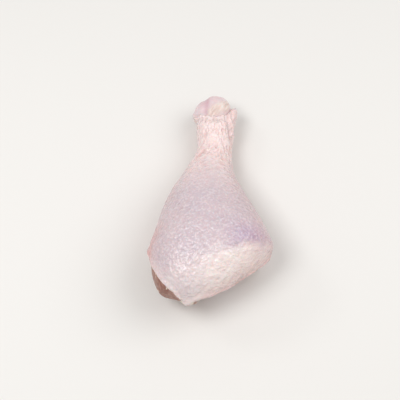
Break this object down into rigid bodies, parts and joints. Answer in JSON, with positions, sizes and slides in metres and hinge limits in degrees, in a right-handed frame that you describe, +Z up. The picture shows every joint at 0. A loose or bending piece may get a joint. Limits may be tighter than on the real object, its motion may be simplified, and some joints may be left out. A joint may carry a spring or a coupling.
{
  "type": "raw chicken drumstick",
  "caption": "Raw chicken drumstick with its skin on: a plump teardrop leg narrowing to a knuckled hock, cut on a slant at the knee, where meat and bone end show under a hood of skin.",
  "frame": {"origin": "centre of the bounding box's base, on the surface that the drumstick lies on", "axes": "+Y along the leg towards the hock, the thin end, so -Y is the knee's cut; +Z up; +X completes a right-handed frame"},
  "size_m": [0.0692, 0.1328, 0.0499],
  "materials": {
    "chicken_skin": "wet raw skin, pale pink",
    "raw_meat": "wet raw muscle",
    "cartilage": "wet cartilage, bluish white"
  },
  "bodies": {
    "root": {"skin": "chicken_skin", "meat": "raw_meat", "leg_bone": "cartilage"}
  },
  "joints": []
}
